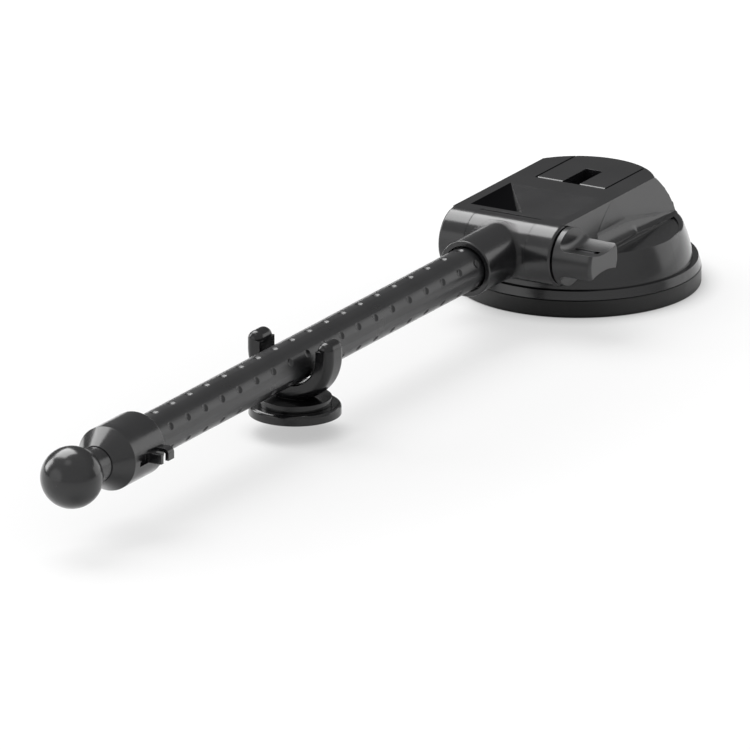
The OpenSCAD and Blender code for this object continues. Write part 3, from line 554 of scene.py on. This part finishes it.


# Floor: its colour, the share of even white that the camera sees on it, and how that fades near the object
# into a painted shadow
FLOOR_SIZE = 6.0
FLOOR_DROP = 0.02 * MM
FLOOR_ALBEDO = 0.72
FLOOR_LIFT = 0.73
# GLOW_NEAR and the CONTACT settings set how dark the floor's painted shadow gets
GLOW_NEAR = 0.835
GLOW_FAR = 0.99
SHADE_START = 0.045
SHADE_END = 0.14
SHADE_STRETCH = 0.53
CONTACT_SAMPLES = 8
CONTACT_REACH = 7.0 * MM
CONTACT_CORE = 0.3
CONTACT_DARK = 0.62


def glow_with_painted_shadow(s):
    """Level of the even white with a painted shadow: full far from the arm, lower near it and lowest where a
    piece stands.
    """
    round_arm = s.add("ShaderNodeMapping")
    round_arm.inputs["Location"].default_value = (0, -LIT_CENTRE.y * SHADE_STRETCH, 0)
    round_arm.inputs["Scale"].default_value = (1, SHADE_STRETCH, 1)
    s.link(s.place(), "Object", round_arm, "Vector")
    away = s.add("ShaderNodeVectorMath", operation="LENGTH")
    s.link(round_arm, 0, away, 0)
    # Painted shadow: the glow is lower near the arm
    shadow_fade = s.add("ShaderNodeMapRange", interpolation_type="SMOOTHSTEP")
    shadow_fade.inputs["From Min"].default_value = SHADE_START
    shadow_fade.inputs["From Max"].default_value = SHADE_END
    shadow_fade.inputs["To Min"].default_value = GLOW_NEAR
    shadow_fade.inputs["To Max"].default_value = GLOW_FAR
    s.link(away, "Value", shadow_fade, "Value")
    # Painted contact shadow: darker where a piece stands close over the floor
    contact_shade = s.add("ShaderNodeAmbientOcclusion", samples=CONTACT_SAMPLES)
    contact_shade.inputs["Distance"].default_value = CONTACT_REACH
    depth = s.add("ShaderNodeMapRange")
    depth.inputs["From Min"].default_value = CONTACT_CORE
    depth.inputs["To Min"].default_value = CONTACT_DARK
    s.link(contact_shade, "AO", depth, "Value")
    level = s.add("ShaderNodeMath", operation="MULTIPLY")
    s.link(shadow_fade, 0, level, 0)
    s.link(depth, 0, level, 1)
    return level


def make_floor():
    """Large pale floor: white where it is lit, with the object's soft shadow kept faint for the camera and a
    painted shadow round the arm and where a piece stands.
    """
    bpy.ops.mesh.primitive_plane_add(size=FLOOR_SIZE, location=(0, 0, -FLOOR_DROP))
    floor = bpy.context.object
    floor.name = "floor"
    s = Shader("floor")
    s.tree.nodes.remove(s.surface)
    base = s.add("ShaderNodeBsdfDiffuse")
    base.inputs["Color"].default_value = (FLOOR_ALBEDO, FLOOR_ALBEDO, FLOOR_ALBEDO, 1)
    glow = s.add("ShaderNodeEmission")
    glow.inputs["Color"].default_value = WHITE
    s.link(glow_with_painted_shadow(s), 0, glow, "Strength")
    path = s.add("ShaderNodeLightPath")
    share = s.add("ShaderNodeMath", operation="MULTIPLY")
    share.inputs[1].default_value = FLOOR_LIFT
    s.link(path, "Is Camera Ray", share, 0)
    seen = s.add("ShaderNodeMixShader")
    s.link(share, 0, seen, 0)
    s.link(base, 0, seen, 1)
    s.link(glow, 0, seen, 2)
    s.link(seen, 0, s.output, "Surface")
    floor.data.materials.append(s.material)


make_camera()
dress_nodes()
make_soft_pieces()
make_scoop_shade()
make_seam_shadows()
make_world()
make_floor()
for lamp in LAMPS:
    make_lamp(lamp)

bpy.context.scene.view_settings.view_transform = "Standard"
